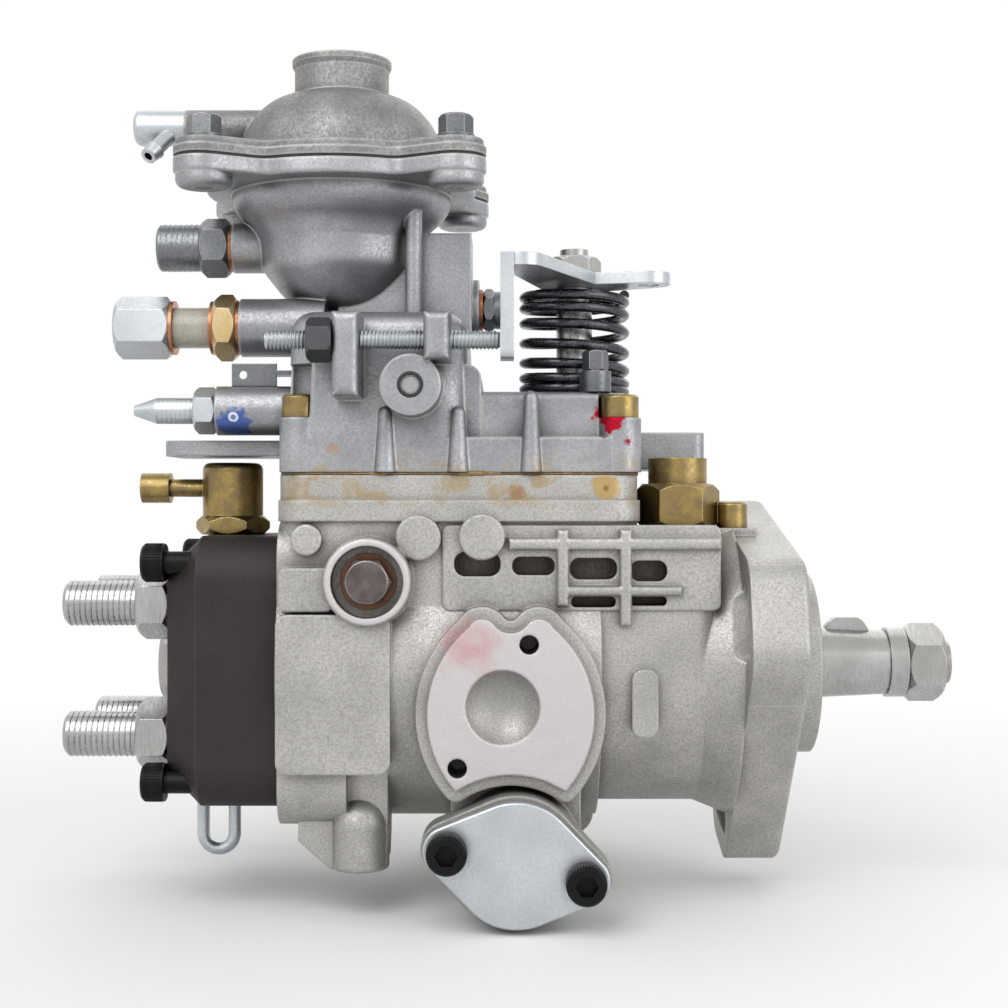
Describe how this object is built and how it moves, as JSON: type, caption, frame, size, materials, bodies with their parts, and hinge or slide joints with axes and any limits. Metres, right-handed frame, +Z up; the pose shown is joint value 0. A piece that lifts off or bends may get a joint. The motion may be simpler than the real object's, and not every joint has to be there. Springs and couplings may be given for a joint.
{
  "type": "diesel injection pump",
  "caption": "Rotary distributor diesel injection pump with boost compensator, mechanical governor, timing advance and steel distributor head.",
  "frame": {"origin": "where the drive shaft axis meets the mounting face of the flange", "axes": "+X along the drive shaft towards its nut, +Z up through the governor cover"},
  "size_m": [0.243, 0.12, 0.2317],
  "materials": {
    "cast_housing": "bead-blasted cast aluminium",
    "cast_cover": "die-cast aluminium",
    "cast_boost": "die-cast aluminium",
    "head_steel": "phosphated steel",
    "bright_steel": "ground steel",
    "dark_steel": "oil-tempered spring steel",
    "zinc_plate": "bright zinc plated steel",
    "yellow_zinc": "bichromate zinc plated steel",
    "black_oxide": "black oxide steel",
    "brass": "turned brass",
    "bronze": "sintered bronze",
    "copper": "annealed copper",
    "nylon": "translucent nylon",
    "rubber": "moulded rubber",
    "gasket": "fibre sheet"
  },
  "bodies": {
    "casing": {"pump_housing": "cast_housing", "shaft_bush": "bronze", "shaft_seal": "rubber", "vane_pump_ring": "bright_steel", "governor_shaft": "bright_steel", "governor_spring": "dark_steel", "plunger_springs": "dark_steel", "timing_spring": "dark_steel", "timing_covers": "zinc_plate", "distributor_head": "head_steel", "distributor_barrel": "bright_steel", "head_plug": "bright_steel", "delivery_valve_holders": "bright_steel", "shutoff_solenoid": "yellow_zinc", "lifting_eye": "zinc_plate", "socket_screws": "black_oxide", "governor_cover": "cast_cover", "cover_gasket": "gasket", "cover_bolts": "yellow_zinc", "boost_cover": "cast_boost", "boost_diaphragm": "rubber", "boost_cover_screws": "zinc_plate", "boost_spring": "dark_steel", "boost_inlet_elbow": "zinc_plate", "vent_union": "zinc_plate", "return_adapter_nut": "brass", "return_sleeve": "nylon", "return_bolt": "zinc_plate", "full_load_screw": "zinc_plate", "speed_stop_screw": "zinc_plate", "lock_nuts": "zinc_plate", "seal_bracket": "zinc_plate", "side_plug": "zinc_plate", "copper_washers": "copper", "pivot_bolts": "zinc_plate", "return_spring": "dark_steel", "spring_anchor_bolt": "zinc_plate", "inlet_fittings": "yellow_zinc"},
    "rotor": {"drive_shaft": "bright_steel", "woodruff_key": "bright_steel", "shaft_nut": "bright_steel", "vane_pump_rotor": "bright_steel", "governor_drive_gear": "bright_steel", "coupling_cross": "bright_steel", "cam_plate": "bright_steel", "plunger": "bright_steel"},
    "governor_cage": {"flyweight_carrier": "bright_steel", "flyweights": "bright_steel"},
    "sleeve": {"sliding_sleeve": "bright_steel"},
    "lever": {"governor_lever": "bright_steel"},
    "collar": {"control_collar": "bright_steel"},
    "advance_ring": {"roller_ring": "bright_steel"},
    "advance_piston": {"timing_piston": "cast_cover"},
    "outlet_valves": {"delivery_valves": "bright_steel"},
    "cut_off_pin": {"solenoid_plunger": "bright_steel"},
    "boost_stem": {"boost_pin": "bright_steel"},
    "feeler": {"feeler_pin": "bright_steel"},
    "reverse_arm": {"reverse_lever": "bright_steel"},
    "throttle": {"throttle_shaft": "bright_steel", "throttle_lever": "zinc_plate"}
  },
  "joints": [
    {"name": "shaft_spin", "type": "hinge", "parent": "casing", "child": "rotor", "pos_m": [0, 0, 0], "axis": [1, 0, 0], "continuous": true},
    {"name": "governor_spin", "type": "hinge", "parent": "casing", "child": "governor_cage", "pos_m": [-0.063, 0, 0.0465], "axis": [1, 0, 0], "continuous": true},
    {"name": "lever_turn", "type": "hinge", "parent": "casing", "child": "lever", "pos_m": [-0.112, 0, 0.0246], "axis": [0, -1, 0], "range_deg": [0, 6.28], "stiffness_Nm_per_rad": 1.5, "springref_deg": -5.73},
    {"name": "sleeve_slide", "type": "slide", "parent": "casing", "child": "sleeve", "axis": [-1, 0, 0], "range_m": [0, 0.0024]},
    {"name": "collar_slide", "type": "slide", "parent": "casing", "child": "collar", "axis": [1, 0, 0], "range_m": [0, 0.00167]},
    {"name": "advance_turn", "type": "hinge", "parent": "casing", "child": "advance_ring", "pos_m": [0, 0, 0], "axis": [1, 0, 0], "range_deg": [0, 9.96], "stiffness_Nm_per_rad": 20, "springref_deg": -2.86},
    {"name": "timing_slide", "type": "slide", "parent": "casing", "child": "advance_piston", "axis": [0, 1, 0], "range_m": [0, 0.008], "deforming": ["timing_spring"]},
    {"name": "outlet_lift", "type": "slide", "parent": "casing", "child": "outlet_valves", "axis": [-1, 0, 0], "range_m": [0, 0.0015], "stiffness_N_per_m": 2000, "springref_m": -0.001},
    {"name": "cut_off_lift", "type": "slide", "parent": "casing", "child": "cut_off_pin", "axis": [0, 0, 1], "range_m": [0, 0.0015], "stiffness_N_per_m": 1000, "springref_m": -0.001},
    {"name": "boost_slide", "type": "slide", "parent": "casing", "child": "boost_stem", "axis": [0, 0, -1], "range_m": [0, 0.005], "stiffness_N_per_m": 4000, "springref_m": -0.002, "deforming": ["boost_spring"]},
    {"name": "feeler_slide", "type": "slide", "parent": "casing", "child": "feeler", "axis": [-1, 0, 0], "range_m": [0, 0.0015]},
    {"name": "reverse_turn", "type": "hinge", "parent": "casing", "child": "reverse_arm", "pos_m": [-0.1008, 0, 0.0747], "axis": [0, -1, 0], "range_deg": [0, 3.54]},
    {"name": "throttle_turn", "type": "hinge", "parent": "casing", "child": "throttle", "pos_m": [-0.0575, -0.004, 0.1045], "axis": [0, 0, 1], "range_deg": [0, 45], "stiffness_Nm_per_rad": 0.5, "springref_deg": -34.38}
  ],
  "couplings": [
    {"joint": "governor_spin", "follows": "shaft_spin", "ratio": -1.2143},
    {"joint": "sleeve_slide", "follows": "lever_turn", "m_per_rad": 0.0219},
    {"joint": "collar_slide", "follows": "lever_turn", "m_per_rad": 0.0152},
    {"joint": "timing_slide", "follows": "advance_turn", "m_per_rad": 0.046},
    {"joint": "feeler_slide", "follows": "boost_slide", "ratio": 0.3},
    {"joint": "reverse_turn", "follows": "boost_slide", "rad_per_m": 12.346}
  ]
}
